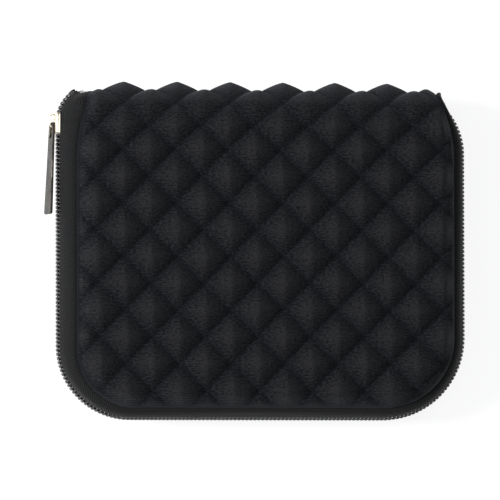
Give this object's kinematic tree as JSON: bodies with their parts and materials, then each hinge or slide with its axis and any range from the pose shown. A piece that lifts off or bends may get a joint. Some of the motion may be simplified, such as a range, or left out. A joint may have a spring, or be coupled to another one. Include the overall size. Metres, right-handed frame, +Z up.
{
  "type": "zipped travel jewellery case",
  "caption": "Soft zip-round travel jewellery case with quilted foam covers, a fold-back lid with pocket and necklace straps, ring rolls and padded compartments",
  "frame": {"origin": "middle of the whole closed case in plan, at the surface it lies on", "axes": "+Z up with the lid on top, +Y towards the spine, -Y towards the zip along the front, -X towards the slider"},
  "size_m": [0.1596, 0.1288, 0.0334],
  "materials": {
    "foam_knit": "black stretch knit over moulded foam, fine cross ribs, faint fuzz",
    "zip_tape": "black woven polyester tape, herringbone weave",
    "zip_coil": "black nylon coil with glossy glints",
    "slider_metal": "polished pale gold plating",
    "tab_metal": "dark smooth plating, near black, slightly brown",
    "velvet": "warm grey velvet with soft sheen",
    "lining_cloth": "dark suede-like lining with low sheen",
    "binding_tape": "black grosgrain binding, stitched",
    "board": "grey-brown stiffener board",
    "thread": "pale sewing thread",
    "snap_metal": "nickel-plated press studs"
  },
  "bodies": {
    "base": {"base_cover": "foam_knit", "base_board": "board", "base_lining": "velvet", "base_binding": "binding_tape", "base_tape": "zip_tape", "base_coil": "zip_coil", "base_zip_stops": "slider_metal", "coil_in_slider": "zip_coil", "divider_beside_rolls": "velvet", "divider_across": "velvet", "divider_rear": "velvet", "ring_roll_1": "velvet", "ring_roll_2": "velvet", "ring_roll_3": "velvet"},
    "spine": {"spine_cover": "foam_knit", "spine_lining": "velvet", "spine_bar_tacks": "thread"},
    "lid": {"lid_cover": "foam_knit", "lid_board": "board", "lid_lining": "velvet", "lid_binding": "binding_tape", "lid_tape": "zip_tape", "lid_coil": "zip_coil", "lid_zip_stops": "slider_metal", "lid_pocket": "velvet", "lid_pocket_hem": "binding_tape", "necklace_strap_1": "lining_cloth", "necklace_strap_2": "lining_cloth", "necklace_strap_3": "lining_cloth", "necklace_strap_4": "lining_cloth", "strap_snap_sockets": "snap_metal", "strap_snap_caps": "snap_metal"},
    "slider": {"slider_body": "slider_metal", "slider_bridge": "slider_metal"},
    "pull_tab": {"pull_tab": "tab_metal"}
  },
  "joints": [
    {"name": "spine_fold", "type": "hinge", "parent": "base", "child": "spine", "pos_m": [0.00178, 0.05723, 0.00712], "axis": [-1, 0, 0], "range_deg": [0, 90]},
    {"name": "lid_fold", "type": "hinge", "parent": "spine", "child": "lid", "pos_m": [0.00178, 0.05723, 0.02628], "axis": [-1, 0, 0], "range_deg": [0, 90]},
    {"name": "slider_travel", "type": "slide", "parent": "base", "child": "slider", "axis": [0, -1, 0], "range_m": [0, 0.0809]},
    {"name": "pull_tab_swing", "type": "hinge", "parent": "slider", "child": "pull_tab", "pos_m": [-0.07783, 0.0476, 0.0167], "axis": [0, 0, -1], "range_deg": [-1, 165]}
  ],
  "couplings": [
    {"joint": "lid_fold", "follows": "spine_fold", "ratio": 1}
  ]
}
